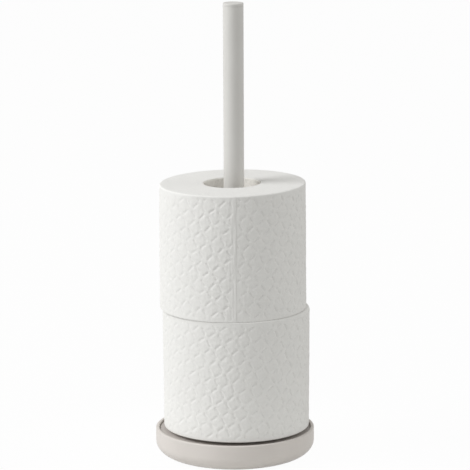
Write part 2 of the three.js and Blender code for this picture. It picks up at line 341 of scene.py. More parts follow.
# %% Matte coat
def matte_coat(name, tint, worn_tint, grain=0.45 * MM):
    material, tree, shader = new_material(name)
    mottle = use_group(tree, SOFT_MOTTLE, Colour=tint, Amount=0.035, Size=28 * MM)
    rub = use_group(tree, RUBBED_EDGE, Amount=0.35, Patch_Size=9 * MM)["Mask"]
    tree.links.new(mixed(tree, rub, mottle["Colour"], worn_tint), shader.inputs["Base Color"])
    peel = use_group(tree, FINE_GRAIN, Size=grain, Detail=2.0)["Height"]
    rough = ramp(tree, peel, NOISE_LOW, NOISE_HIGH, 0.42, 0.52)
    smoother = maths(tree, "SUBTRACT", rough, maths(tree, "MULTIPLY", rub, 0.2))
    tree.links.new(smoother, shader.inputs["Roughness"])
    bump(tree, shader, peel, 0.012 * MM)
    return material


POLE_TINT = colour(0.71, 0.7, 0.675)
POLE_WORN_TINT = colour(0.74, 0.725, 0.69)
POLE_GRAIN = 0.35 * MM
base_coat = matte_coat("base coat", colour(0.71, 0.67, 0.634), colour(0.76, 0.715, 0.67))
# The floor plate is a darker grey than the bowl.
plate_coat = matte_coat("floor plate coat", colour(0.56, 0.52, 0.49), colour(0.62, 0.58, 0.55))
pole_coat = matte_coat("pole coat", POLE_TINT, POLE_WORN_TINT, grain=POLE_GRAIN)
cap_coat = matte_coat("cap coat", POLE_TINT, POLE_WORN_TINT, grain=POLE_GRAIN)
print("coats:", [coat.name for coat in (base_coat, plate_coat, pole_coat, cap_coat)])


# %% [markdown]
# ## Tissue
#
# Tissue is nearly white, quite without shine, and full of short fibres. Its quilted pattern is real
# relief and is modelled later. What the material adds is finer than that: crepe lines that run along the
# roll's axis, loose fibres, and painted shade, a slightly greyer tone in the pressed hollows. On the end
# faces the edges of the wound layers show as close rings round the core.

# %% Tissue
LAYER_PITCH = 0.42 * MM
LAYER_WANDER = 1.2 * MM


def tissue_finish():
    material, tree, shader = new_material("tissue", Roughness=0.95, Diffuse_Roughness=0.15)
    shader.inputs["Specular IOR Level"].default_value = 0.0
    place = add_node(tree, "TexCoord")
    split = add_node(tree, "SeparateXYZ")
    tree.links.new(place.outputs["Object"], split.inputs[0])
    across = maths(tree, "MULTIPLY", split.outputs["X"], split.outputs["X"])
    along = maths(tree, "MULTIPLY", split.outputs["Y"], split.outputs["Y"])
    radius = maths(tree, "SQRT", maths(tree, "ADD", across, along))
    facing = add_node(tree, "SeparateXYZ")
    tree.links.new(place.outputs["Normal"], facing.inputs[0])
    end_face = ramp(tree, maths(tree, "ABSOLUTE", facing.outputs["Z"]), 0.8, 0.95)

    wander = use_group(tree, FINE_GRAIN, Size=14 * MM, Detail=2.0)["Height"]
    wound = maths(tree, "ADD", radius, maths(tree, "MULTIPLY", wander, LAYER_WANDER))
    layers = maths(tree, "SINE", maths(tree, "MULTIPLY", wound, 2 * math.pi / LAYER_PITCH))
    ring = maths(tree, "MULTIPLY", end_face, ramp(tree, layers, 0.2, 1.0))

    mottle = use_group(tree, SOFT_MOTTLE, Colour=colour(0.9, 0.896, 0.876), Amount=0.02, Size=7 * MM)
    fibre = use_group(tree, FLECKS, Size=0.5 * MM, Share=0.35, Stretch=(1, 1, 0.3))["Mask"]
    flecked = mixed(tree, maths(tree, "MULTIPLY", fibre, 0.3), mottle["Colour"], colour(0.84, 0.83, 0.8))
    # Painted shade: the pressed hollows are mixed towards a greyer tone.
    hollow_shade = use_group(tree, PAINTED_HOLLOW_SHADE, Amount=0.45, Depth=0.04)["Mask"]
    pressed = mixed(tree, hollow_shade, flecked, colour(0.8, 0.796, 0.778))
    cut_edges = mixed(tree, maths(tree, "MULTIPLY", end_face, 0.5), pressed, colour(0.82, 0.816, 0.8))
    shaded = mixed(tree, maths(tree, "MULTIPLY", ring, 0.55), cut_edges, colour(0.76, 0.755, 0.735))
    tree.links.new(shaded, shader.inputs["Base Color"])

    crepe = use_group(tree, FINE_GRAIN, Size=0.55 * MM, Detail=3.0, Stretch=(1, 1, 0.25))["Height"]
    relief = maths(tree, "SUBTRACT", crepe, maths(tree, "MULTIPLY", ring, 0.6))
    bump(tree, shader, relief, 0.06 * MM)
    return material


tissue = tissue_finish()
print("finish:", tissue.name)


# %% [markdown]
# ## Card
#
# The core is a tube of recycled card, wound from strips. Little light gets into the narrow hole, so its
# ground is painted paler and faintly warmer than real card, as painted light. Specks and short fibres
# come from light and dark flecks of two sizes, which give the look of pulp without a picture.


# %% Card
def card_finish():
    material, tree, shader = new_material("grey card", Roughness=0.9)
    # Painted light: this ground colour is paler than real card, to brighten the inside of the narrow
    # hole.
    mottle = use_group(tree, SOFT_MOTTLE, Colour=colour(0.97, 0.95, 0.905), Amount=0.08, Size=4 * MM)
    dark = use_group(tree, FLECKS, Size=0.9 * MM, Share=0.3, Stretch=(1, 1, 0.6))["Mask"]
    pale = use_group(tree, FLECKS, Size=0.6 * MM, Share=0.25, Stretch=(1, 1, 1.7))["Mask"]
    darker = mixed(tree, maths(tree, "MULTIPLY", dark, 0.4), mottle["Colour"], colour(0.6, 0.57, 0.51))
    flecked = mixed(tree, maths(tree, "MULTIPLY", pale, 0.5), darker, colour(0.92, 0.905, 0.87))
    tree.links.new(flecked, shader.inputs["Base Color"])
    pulp = use_group(tree, FINE_GRAIN, Size=0.4 * MM, Detail=4.0)["Height"]
    bump(tree, shader, pulp, 0.05 * MM)
    return material


card = card_finish()
print("finish:", card.name)


# %% [markdown]
# ## Metal and rubber
#
# Below the base and inside it are the pieces that hold the stand together: zinc-plated steel for the
# screw, its washers and the pole's foot, grey iron for the weight, and rubber for the pads. Plated steel
# is bright with faint turning lines, iron is dark with casting pits, and rubber is almost black with a
# dusty bloom.


# %% Zinc plate
def zinc_finish():
    material, tree, shader = new_material("zinc plate", Metallic=1.0)
    mottle = use_group(tree, SOFT_MOTTLE, Colour=colour(0.66, 0.67, 0.69), Amount=0.12, Size=5 * MM)
    rub = use_group(tree, RUBBED_EDGE, Amount=0.6, Patch_Size=3 * MM)["Mask"]
    plated = mixed(tree, rub, mottle["Colour"], colour(0.8, 0.8, 0.81))
    tree.links.new(plated, shader.inputs["Base Color"])
    lines = use_group(tree, FINE_GRAIN, Size=0.5 * MM, Detail=2.0, Stretch=(0.4, 0.4, 4))["Height"]
    tree.links.new(ramp(tree, lines, NOISE_LOW, NOISE_HIGH, 0.28, 0.42), shader.inputs["Roughness"])
    bump(tree, shader, lines, 0.01 * MM)
    return material


zinc = zinc_finish()
print("finish:", zinc.name)


# %% Cast iron
def iron_finish():
    material, tree, shader = new_material("cast iron", Metallic=0.7)
    mottle = use_group(tree, SOFT_MOTTLE, Colour=colour(0.1, 0.1, 0.105), Amount=0.3, Size=9 * MM)
    pits = use_group(tree, FLECKS, Size=1.6 * MM, Share=0.3)["Mask"]
    rusty = mixed(tree, maths(tree, "MULTIPLY", pits, 0.5), mottle["Colour"], colour(0.11, 0.07, 0.05))
    tree.links.new(rusty, shader.inputs["Base Color"])
    sand = use_group(tree, FINE_GRAIN, Size=1.1 * MM, Detail=4.0)["Height"]
    tree.links.new(ramp(tree, sand, NOISE_LOW, NOISE_HIGH, 0.6, 0.8), shader.inputs["Roughness"])
    bump(tree, shader, maths(tree, "SUBTRACT", sand, maths(tree, "MULTIPLY", pits, 0.5)), 0.15 * MM)
    return material


iron = iron_finish()
print("finish:", iron.name)


# %% Rubber
def rubber_finish():
    material, tree, shader = new_material("pad rubber")
    mottle = use_group(tree, SOFT_MOTTLE, Colour=colour(0.05, 0.05, 0.05), Amount=0.3, Size=3 * MM)
    dust = use_group(tree, FLECKS, Size=0.7 * MM, Share=0.25)["Mask"]
    dusty = mixed(tree, maths(tree, "MULTIPLY", dust, 0.3), mottle["Colour"], colour(0.2, 0.19, 0.18))
    tree.links.new(dusty, shader.inputs["Base Color"])
    skin = use_group(tree, FINE_GRAIN, Size=0.3 * MM, Detail=3.0)["Height"]
    tree.links.new(ramp(tree, skin, NOISE_LOW, NOISE_HIGH, 0.7, 0.9), shader.inputs["Roughness"])
    bump(tree, shader, skin, 0.03 * MM)
    return material


rubber = rubber_finish()
print("finish:", rubber.name)

# %% [markdown]
# ## Turned pieces
#
# Most of the stand is round: base, plate, pole, cap, washers and pads. On the real object these are
# moulded or turned, and every edge has a small rounding that catches the light. Here a profile is written
# as corners, each with its own rounding, and spun about the upright axis. A modifier could do the same,
# but spinning in bmesh leaves a plain mesh whose normals can be set once and for all.

# %% Turning helpers
ROUND_SIDES = 192
BASE_SIDES = 256
SMALL_SIDES = 96
FINEST_STEP = 0.25 * MM
SHARP_DEGREES = 40


def softened(corners):
    """Rounds the corners of a closed profile; a corner is (radius, height, rounding)."""
    points = []
    for index, (radius, height, rounding) in enumerate(corners):
        here = Vector((radius, height))
        if rounding == 0:
            points.append(here)
            continue
        before = (Vector(corners[index - 1][:2]) - here).normalized()
        after = (Vector(corners[(index + 1) % len(corners)][:2]) - here).normalized()
        half = before.angle(after) / 2
        centre = here + (before + after).normalized() * (rounding / math.sin(half))
        start = here + before * (rounding / math.tan(half)) - centre
        end = here + after * (rounding / math.tan(half)) - centre
        steps = max(4, round(rounding * start.angle(end) / FINEST_STEP / 2))
        for step in range(steps + 1):
            spoke = start.lerp(end, step / steps).normalized() * rounding
            points.append(centre + spoke)
    return points


def shade(mesh, sharp_degrees=SHARP_DEGREES):
    """Shades a mesh smooth all over except at its real edges."""
    mesh.shade_smooth()
    mesh.set_sharp_from_angle(angle=math.radians(sharp_degrees))


def mesh_piece(name, shape, sharp_degrees=SHARP_DEGREES):
    """Makes an object of a bmesh."""
    mesh = bpy.data.meshes.new(name)
    shape.to_mesh(mesh)
    shape.free()
    shade(mesh, sharp_degrees)
    piece = bpy.data.objects.new(name, mesh)
    bpy.context.scene.collection.objects.link(piece)
    return piece


def turned_shape(profile, sides=ROUND_SIDES):
    """Spins a closed profile about the upright axis."""
    shape = bmesh.new()
    verts = [shape.verts.new((point.x, 0, point.y)) for point in profile]
    edges = [shape.edges.new(pair) for pair in zip(verts, verts[1:] + verts[:1])]
    bmesh.ops.spin(
        shape,
        geom=verts + edges,
        cent=(0, 0, 0),
        axis=(0, 0, 1),
        angle=2 * math.pi,
        steps=sides,
        use_merge=True,
    )
    bmesh.ops.remove_doubles(shape, verts=shape.verts, dist=0.0005 * MM)
    bmesh.ops.recalc_face_normals(shape, faces=shape.faces)
    return shape


def turned(name, corners, sides=ROUND_SIDES):
    return mesh_piece(name, turned_shape(softened(corners), sides))


def reach(node):
    """How far a node on the pole's axis reaches out."""
    low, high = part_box(node)
    return (high.x - low.x) / 2


def fit(piece, finish, body, slot, *nodes):
    """Gives a piece its finish and its place in the frame."""
    piece.data.materials.append(finish)
    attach(piece, body)
    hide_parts(*nodes)
    print(piece.name, "rides on", body, "with", len(piece.data.polygons), "faces")


# %% [markdown]
# ## The base bowl
#
# The base is a low round tray. Its side stands upright for half of its height and then turns under in
# one large curve, so that it seems to float. The rim is thin and its two edges are rounded. Inside, a
# ledge carries the floor plate and a hub carries the screw. The pockets of the pads are cut from below
# with a boolean, as a milling cutter would do it.

# %% Base bowl sizes
bowl_low, bowl_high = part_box("base_bowl")
plate_low, plate_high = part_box("floor_plate")
screw_low, screw_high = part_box("clamp_screw")
washer_low, washer_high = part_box("flat_washer")
ballast_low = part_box("ballast_ring")[0]
FIT_GAP = 0.3 * MM
base_radius = reach("base_bowl")
recess_radius = reach("floor_plate") + FIT_GAP
UNDER_CURVE_HEIGHT = 11.5 * MM
UNDER_CURVE_REACH = 15 * MM
UNDER_CURVE_STEPS = 40
INNER_CURVE = 7 * MM
RIM_ROUND = 0.9 * MM
LEDGE = 1.6 * MM
WASHER_ROOM = 1.5 * MM
HUB_WALL = 5 * MM
SHANK_RADIUS = 3 * MM
ledge_height = plate_low.z - FIT_GAP
bowl_floor = ballast_low.z - FIT_GAP
well_radius = reach("flat_washer") + WASHER_ROOM
well_top = washer_high.z + FIT_GAP
hub_radius = well_radius + HUB_WALL
hole_radius = SHANK_RADIUS + FIT_GAP
print("base radius", round(base_radius / MM, 2), "mm, recess radius", round(recess_radius / MM, 2), "mm")

# %% Base bowl
under_curve = []
for step in range(UNDER_CURVE_STEPS + 1):
    bend = math.pi / 2 * step / UNDER_CURVE_STEPS
    radius = base_radius - UNDER_CURVE_REACH * (1 - math.sin(bend))
    height = bowl_low.z + UNDER_CURVE_HEIGHT * (1 - math.cos(bend))
    under_curve.append((radius, height, 0))
bowl = turned(
    "base_bowl_shell",
    [
        (well_radius, bowl_low.z, 0.5 * MM),
        *under_curve,
        (base_radius, bowl_high.z, RIM_ROUND),
        (recess_radius, bowl_high.z, RIM_ROUND),
        (recess_radius, ledge_height, 0),
        (recess_radius - LEDGE, ledge_height, 0.3 * MM),
        (recess_radius - LEDGE, bowl_floor, INNER_CURVE),
        (hub_radius, bowl_floor, 1 * MM),
        (hub_radius, ledge_height, 0.4 * MM),
        (hole_radius, ledge_height, 0.3 * MM),
        (hole_radius, well_top, 0),
        (well_radius, well_top, 0),
    ],
    sides=BASE_SIDES,
)


def cut(piece, tool):
    """Cuts one piece out of another and throws the tool away."""
    modifier = piece.modifiers.new("cut", "BOOLEAN")
    modifier.operation = "DIFFERENCE"
    modifier.object = tool
    bpy.context.view_layer.objects.active = piece
    bpy.ops.object.modifier_apply(modifier=modifier.name)
    bpy.data.objects.remove(tool)


PAD_NODES = ["foot_pad_1", "foot_pad_2", "foot_pad_3", "foot_pad_4"]
for node in PAD_NODES:
    low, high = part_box(node)
    pocket_radius = (high.x - low.x) / 2 + FIT_GAP
    pocket_top = high.z + FIT_GAP
    side = [(pocket_radius, 0, 0), (pocket_radius, pocket_top, 0)]
    cutter = turned("cutter", [(0, 0, 0), *side, (0, pocket_top, 0)])
    cutter.location = ((low.x + high.x) / 2, (low.y + high.y) / 2, 0)
    cut(bowl, cutter)
shade(bowl.data)
fit(bowl, base_coat, "stand", "base_shell", "base_bowl")

# %% [markdown]
# ## Floor plate, pole foot, pole and cap
#
# The plate drops into the recess and the rolls stand on it. The pole's foot is a turned flange clamped on
# the plate. The pole is a plain tube pressed over the foot, and a flat cap closes its top with a hairline
# joint. Each is one turned profile with the small roundings that a lathe tool and a coat of powder leave.

# %% Floor plate
LOCATOR_WALL = 2.5 * MM
locator_radius = hole_radius + LOCATOR_WALL
plate = turned(
    "floor_plate_disc",
    [
        (locator_radius + FIT_GAP, plate_low.z, 0),
        (reach("floor_plate"), plate_low.z, 0.2 * MM),
        (reach("floor_plate"), plate_high.z, 0.4 * MM),
        (locator_radius + FIT_GAP, plate_high.z, 0.3 * MM),
    ],
    sides=BASE_SIDES,
)
fit(plate, plate_coat, "stand", "floor_plate", "floor_plate")

# %% Pole foot
TUBE_WALL = 1 * MM
THREAD_RUNOUT = 2 * MM
foot_low, foot_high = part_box("pole_foot")
tube_low, tube_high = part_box("pole_tube")
cap_low, cap_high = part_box("pole_cap")
pole_radius = reach("pole_tube")
tube_bore = pole_radius - TUBE_WALL
spigot_radius = tube_bore - FIT_GAP
flange_low = plate_high.z + FIT_GAP
flange_high = tube_low.z - FIT_GAP
thread_top = screw_high.z + THREAD_RUNOUT
pole_foot = turned(
    "pole_foot_flange",
    [
        (0, thread_top, 0),
        (hole_radius, thread_top, 0),
        (hole_radius, foot_low.z, 0.3 * MM),
        (locator_radius, foot_low.z, 0.4 * MM),
        (locator_radius, flange_low, 0),
        (reach("pole_foot"), flange_low, 0.3 * MM),
        (reach("pole_foot"), flange_high, 0.9 * MM),
        (spigot_radius, flange_high, 0),
        (spigot_radius, foot_high.z, 1 * MM),
        (0, foot_high.z, 0),
    ],
)
fit(pole_foot, zinc, "stand", "zinc_steel", "pole_foot")

# %% Pole and cap
HAIRLINE = 0.06 * MM
CAP_THICKNESS = 2 * MM
PLUG_WALL = 1.6 * MM
cap_underside = cap_high.z - CAP_THICKNESS
pole = turned(
    "pole_tube_coated",
    [
        (tube_bore, tube_low.z, 0.15 * MM),
        (pole_radius, tube_low.z, 0.3 * MM),
        (pole_radius, tube_high.z, 0.15 * MM),
        (tube_bore, tube_high.z, 0.15 * MM),
    ],
)
fit(pole, pole_coat, "stand", "pole_coat", "pole_tube")
plug_bore = spigot_radius - PLUG_WALL
cap = turned(
    "pole_cap_plug",
    [
        (0, cap_underside, 0),
        (plug_bore, cap_underside, 0.3 * MM),
        (plug_bore, cap_low.z, 0.2 * MM),
        (spigot_radius, cap_low.z, 0.4 * MM),
        (spigot_radius, tube_high.z + HAIRLINE, 0),
        (pole_radius, tube_high.z + HAIRLINE, 0.1 * MM),
        (pole_radius, cap_high.z, 0.6 * MM),
        (0, cap_high.z, 0),
    ],
)
fit(cap, cap_coat, "stand", "cap", "pole_cap")

# %% [markdown]
# ## Screw, washers and pads
#
# One socket-head screw from below draws bowl, plate and foot together over a spring washer and a flat
# washer. Four rubber pads sit in their pockets and stand slightly proud, and three shallow rings in each
# face help it grip. These show only from below, but they are what makes the base believable when the
# stand is turned over.

# %% Screw
HEAD_HEIGHT = 4 * MM
KEY_WIDTH = 4 * MM
SOCKET_DEPTH = 2.4 * MM
SOCKET_CONE = 0.8 * MM
head_radius = reach("clamp_screw")
head_top = screw_low.z + HEAD_HEIGHT
screw = turned(
    "clamp_screw_socket_head",
    [
        (0, screw_low.z, 0),
        (head_radius, screw_low.z, 0.6 * MM),
        (head_radius, head_top, 0.2 * MM),
        (SHANK_RADIUS, head_top, 0.3 * MM),
        (SHANK_RADIUS, screw_high.z, 0.8 * MM),
        (0, screw_high.z, 0),
    ],
    sides=SMALL_SIDES,
)
socket_radius = KEY_WIDTH / math.sqrt(3)
socket_corners = [
    (0, screw_low.z - FIT_GAP, 0),
    (socket_radius, screw_low.z - FIT_GAP, 0),
    (socket_radius, screw_low.z + SOCKET_DEPTH, 0),
    (0, screw_low.z + SOCKET_DEPTH + SOCKET_CONE, 0),
]
cut(screw, turned("hex_key", socket_corners, sides=6))
shade(screw.data)
fit(screw, zinc, "stand", "zinc_steel", "clamp_screw")

# %% Washers
flat_washer = turned(
    "flat_washer_ring",
    [
        (hole_radius, washer_low.z, 0.1 * MM),
        (reach("flat_washer"), washer_low.z, 0.4 * MM),
        (reach("flat_washer"), washer_high.z, 0.1 * MM),
        (hole_radius, washer_high.z, 0.1 * MM),
    ],
    sides=SMALL_SIDES,
)
fit(flat_washer, zinc, "stand", "zinc_steel", "flat_washer")

lock_low, lock_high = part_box("lock_washer")
lock_radius = (lock_high.y - lock_low.y) / 2
lock_washer = turned(
    "lock_washer_ring",
    [
        (hole_radius, lock_low.z, 0.15 * MM),
        (lock_radius, lock_low.z, 0.15 * MM),
        (lock_radius, lock_high.z, 0.15 * MM),
        (hole_radius, lock_high.z, 0.15 * MM),
    ],
    sides=SMALL_SIDES,
)
SPLIT_WIDTH = 1.5 * MM
SPLIT_SLANT = math.radians(25)
split_place = (1.2 * lock_radius, 0, (lock_low.z + lock_high.z) / 2)
split = bmesh.new()
bmesh.ops.create_cube(split, size=1)
bmesh.ops.scale(split, vec=(2 * lock_radius, SPLIT_WIDTH, 4 * SPLIT_WIDTH), verts=split.verts)
bmesh.ops.rotate(split, matrix=Matrix.Rotation(SPLIT_SLANT, 3, "X"), verts=split.verts)
bmesh.ops.translate(split, vec=split_place, verts=split.verts)
cut(lock_washer, mesh_piece("split", split))
shade(lock_washer.data)
fit(lock_washer, zinc, "stand", "zinc_steel", "lock_washer")

# %% Pads
GRIP_RINGS = 3
GRIP_DEPTH = 0.25 * MM
GRIP_WIDTH = 0.7 * MM
for node in PAD_NODES:
    low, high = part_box(node)
    pad_radius = (high.x - low.x) / 2
    corners = [(0, high.z, 0), (0, low.z, 0)]
    for ring in range(1, GRIP_RINGS + 1):
        middle = pad_radius * ring / (GRIP_RINGS + 1)
        corners.append((middle - GRIP_WIDTH / 2, low.z, 0.1 * MM))
        corners.append((middle - GRIP_WIDTH / 4, low.z + GRIP_DEPTH, 0))
        corners.append((middle + GRIP_WIDTH / 4, low.z + GRIP_DEPTH, 0))
        corners.append((middle + GRIP_WIDTH / 2, low.z, 0.1 * MM))
    corners.append((pad_radius, low.z, 0.4 * MM))
    corners.append((pad_radius, high.z, 0.2 * MM))
    pad = turned(node + "_grip", corners, sides=SMALL_SIDES)
    pad.location = ((low.x + high.x) / 2, (low.y + high.y) / 2, 0)
    fit(pad, rubber, "stand", "pad", node)

# %% [markdown]
# ## The iron weight
#
# The weight lies sealed between bowl and plate and never shows. Its CAD shape is right as it is, so it
# stays and only gets its finish.

# %% Weight
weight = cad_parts["ballast_ring"]
weight.data.materials.clear()
weight.data.materials.append(iron)
print("weight keeps", len(weight.data.polygons), "faces")

# %% [markdown]
# ## Grids that wrap round
#
# Card cores and paper rolls aren't quite round: a core has a spiral seam, and wound paper grows by one
# sheet in each turn and ends in a loose edge. So they are made as grids: columns round the axis, rows
# along a profile, with every point free to move. Numpy moves all points at once. A smooth field of a few
# waves in seeded directions stands in for the unevenness of soft material.


# %% Grid helpers
def unevenness(seed, along, up, length, waves=9):
    """A smooth field between about -1 and 1 over a surface, with features of about the given length."""
    dice = np.random.default_rng(seed)
    directions = dice.uniform(0, math.pi, waves)
    phases = dice.uniform(0, 2 * math.pi, waves)
    stretches = dice.uniform(0.7, 1.5, waves)
    field = np.zeros_like(along)
    for direction, phase, stretch in zip(directions, phases, stretches):
        pace = 2 * math.pi / (length * stretch)
        field += np.sin(pace * (along * math.cos(direction) + up * math.sin(direction)) + phase)
    return field / math.sqrt(waves)


def smoothstep(value, low, high):
    share = np.clip((value - low) / (high - low), 0, 1)
    return share * share * (3 - 2 * share)


def grid_piece(name, points, sharp_degrees=SHARP_DEGREES):
    """Joins a grid of points [column, row] into one piece that closes on itself both ways."""
    columns, rows = points.shape[:2]
    here = np.arange(columns * rows).reshape(columns, rows)
    there = np.roll(here, -1, axis=0)
    faces = np.stack([here, there, np.roll(there, -1, axis=1), np.roll(here, -1, axis=1)], axis=-1)
    raw = bpy.data.meshes.new(name)
    raw.from_pydata(points.reshape(-1, 3), [], faces.reshape(-1, 4).tolist())
    shape = bmesh.new()
    shape.from_mesh(raw)
    bpy.data.meshes.remove(raw)
    bmesh.ops.remove_doubles(shape, verts=shape.verts, dist=0.001 * MM)
    bmesh.ops.recalc_face_normals(shape, faces=shape.faces)
    return mesh_piece(name, shape, sharp_degrees)


# %% [markdown]
# ## Card cores
#
# The core is wound from card strips at a slant, so a seam climbs round it like a thread. The inner wall
# has rows close enough to press that seam in as a shallow groove, and the cut ends are slightly uneven,
# as a blunt saw leaves them.

# %% Card cores
CORE_COLUMNS = 180
CORE_ROWS = 120
CORE_WALL = 0.8 * MM
CORE_RISE = 0.5 * MM
SEAM_LEAD = 82 * MM
SEAM_WIDTH = 0.7 * MM
SEAM_DEPTH = 0.22 * MM
RAGGED_HEIGHT = 0.12 * MM
RAGGED_LENGTH = 9 * MM
RAGGED_REACH = 1 * MM


def card_core(name, node, seed):
    """A card tube with a spiral seam on its inner wall and slightly ragged ends."""
    low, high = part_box(node)
    outer = (high.x - low.x) / 2
    inner = outer - CORE_WALL
    height = high.z - low.z + CORE_RISE
    climb = np.linspace(0, height, CORE_ROWS)
    cut_end = [inner + 0.3 * CORE_WALL]
    radius = np.concatenate([np.full(CORE_ROWS, inner), cut_end, np.full(CORE_ROWS, outer), cut_end])
    level = np.concatenate([climb, [height], climb[::-1], [0]])
    turn = np.linspace(0, 2 * math.pi, CORE_COLUMNS, endpoint=False)
    turn_grid, level_grid = np.meshgrid(turn, level, indexing="ij")
    radius_grid = np.broadcast_to(radius, turn_grid.shape).copy()
    seam = (level_grid / SEAM_LEAD - turn_grid / (2 * math.pi)) % 1.0
    climb_angle = math.atan2(SEAM_LEAD, 2 * math.pi * inner)
    off_seam = np.minimum(seam, 1 - seam) * SEAM_LEAD * math.cos(climb_angle)
    inner_wall = radius_grid < inner + CORE_WALL / 2
    radius_grid += SEAM_DEPTH * np.exp(-((off_seam / SEAM_WIDTH) ** 2)) * inner_wall
    ragged = RAGGED_HEIGHT * unevenness(seed, turn_grid * inner, level_grid, RAGGED_LENGTH)
    from_middle = level_grid - height / 2
    near_end = smoothstep(np.abs(from_middle), height / 2 - RAGGED_REACH, height / 2)
    level_grid = level_grid - np.abs(ragged) * near_end * np.sign(from_middle)
    across, forward = radius_grid * np.cos(turn_grid), radius_grid * np.sin(turn_grid)
    points = np.stack([across, forward, level_grid], axis=-1)
    core = grid_piece(name, points)
    core.location = ((low.x + high.x) / 2, (low.y + high.y) / 2, low.z)
    return core


lower_core = card_core("lower_roll_card_core", "lower_roll_core", seed=11)
fit(lower_core, card, "lower_core", "card", "lower_roll_core")
upper_core = card_core("upper_roll_card_core", "upper_roll_core", seed=12)
fit(upper_core, card, "upper_core", "card", "upper_roll_core")

# %% [markdown]
# ## The quilted pattern
#
# The paper is embossed between rollers with short dashes. They form the sides of small squares on a grid
# with a pitch of 10 mm that leans about 30 degrees, and they stop short of the corners, so soft pillows
# are left between them. The pattern could be drawn as a bump, but then the roll's outline and its grazing
# light would stay flat, so the surface itself is pressed in. Every dash gets its own small shift, turn
# and depth from a seeded table, as soft paper would give it.

# %% Quilt
QUILT_PITCH = 10 * MM
DASH_LENGTH = 7.2 * MM
RISING_WIDTH = 3.2 * MM
FALLING_WIDTH = 2.8 * MM
DASH_DEPTH = 0.41 * MM
PILLOW_CROWN = 0.06 * MM
CRINKLE_HEIGHT = 0.055 * MM
CRINKLE_LENGTH = 3.6 * MM
CRINKLE_WAVES = 24
RISING_TURN = math.radians(9)
FALLING_TURN = math.radians(2)
SHIFT_ALONG = 0.42 * MM
SHIFT_ACROSS = 0.34 * MM
TWIST = math.radians(7)
PRESS_CHANGE = 0.25
WOBBLE = 0.5 * MM
WOBBLE_LENGTH = 22 * MM
DASH_TABLE = 97


def pressed_dashes(first, second, width, turn, seed):
    """Dashes along the first direction, one at each pair of whole numbers; 1 where pressed deepest."""
    dice = np.random.default_rng(seed)
    shift_one, shift_two, twist, press = dice.uniform(-1, 1, (4, DASH_TABLE, DASH_TABLE))
    nearest = (np.round(first).astype(int) % DASH_TABLE, np.round(second).astype(int) % DASH_TABLE)
    beside = (first - np.round(first)) * QUILT_PITCH + SHIFT_ALONG * shift_one[nearest]
    above = (second - np.round(second)) * QUILT_PITCH + SHIFT_ACROSS * shift_two[nearest]
    angle = turn + TWIST * twist[nearest]
    along = beside * np.cos(angle) + above * np.sin(angle)
    across = above * np.cos(angle) - beside * np.sin(angle)
    beyond = np.maximum(np.abs(along) - (DASH_LENGTH - width) / 2, 0)
    pressed = 1 - smoothstep(np.hypot(beyond, across), 0, width / 2)
    return pressed * (1 + PRESS_CHANGE * press[nearest])


def quilt_depth(along, up, slant, phase, seed):
    """How far the pattern lies below the sheet; the phase shifts its grid in both directions."""
    wobble = WOBBLE * unevenness(seed, along, up, WOBBLE_LENGTH)
    first = ((along + wobble) * math.cos(slant) + up * math.sin(slant)) / QUILT_PITCH + phase[0]
    second = (up * math.cos(slant) - (along - wobble) * math.sin(slant)) / QUILT_PITCH + phase[1]
    rising = pressed_dashes(first - 0.5, second, RISING_WIDTH, RISING_TURN, seed)
    falling = pressed_dashes(second - 0.5, -first, FALLING_WIDTH, FALLING_TURN, seed + 50)
    crown = np.sin(math.pi * first) ** 2 * np.sin(math.pi * second) ** 2
    crinkles = unevenness(seed + 9, along, up, CRINKLE_LENGTH, waves=CRINKLE_WAVES)
    return DASH_DEPTH * np.maximum(rising, falling) - PILLOW_CROWN * crown + CRINKLE_HEIGHT * crinkles


# %% [markdown]
# ## Wound paper
#
# A roll is one long sheet, so its outer radius grows by one sheet over each turn and drops at the free
# end. On the upper roll that end faces the camera: a straight edge from top to bottom, with the crinkles
# that the spot of glue leaves. The end faces show the layers as slightly uneven rings. Soft paper doesn't
# keep the shape of a drawing, so each roll leans, swells and tilts by less than a millimetre, and the
# pattern is shallower on its left flank than on its right, as the shading of the picture suggests. Its
# outer corners are soft too, most of all the lower corner of the lower roll, which the weight of both
# rolls has pushed up from the plate, and its right shoulder, which the upper roll leaves free.

# %% Wound paper sizes
ROLL_COLUMNS = 860
WALL_ROWS = 180
EDGE_ROWS = 7
FACE_ROWS = 6
FACE_SPACING = 0.8
SHEET_STEP = 0.16 * MM
FRONT = math.radians(-90)
EDGE_FLAT = 0.8 * MM
EDGE_FADE = 4 * MM
TAIL_FLAT = 1 * MM
TAIL_FADE = 5 * MM
TAIL_START = 2 * MM
WRINKLE_HEIGHT = 0.1 * MM
WRINKLE_LENGTH = 18 * MM
WRINKLE_REACH = 7 * MM
WRINKLE_SQUEEZE = 9
DENT_HEIGHT = 0.08 * MM
DENT_LENGTH = 45 * MM
LAYER_SINK = 0.12 * MM
GLUED_SHARE = 0.02
LOOSE_SHARE = 0.2
PAPER_SHARP_DEGREES = 60
ROLL_RISE = 0.25 * MM
CORE_TOUCH = 0.05 * MM
DISH_REACH = 15 * MM
FLANK_CHANGE = 0.5


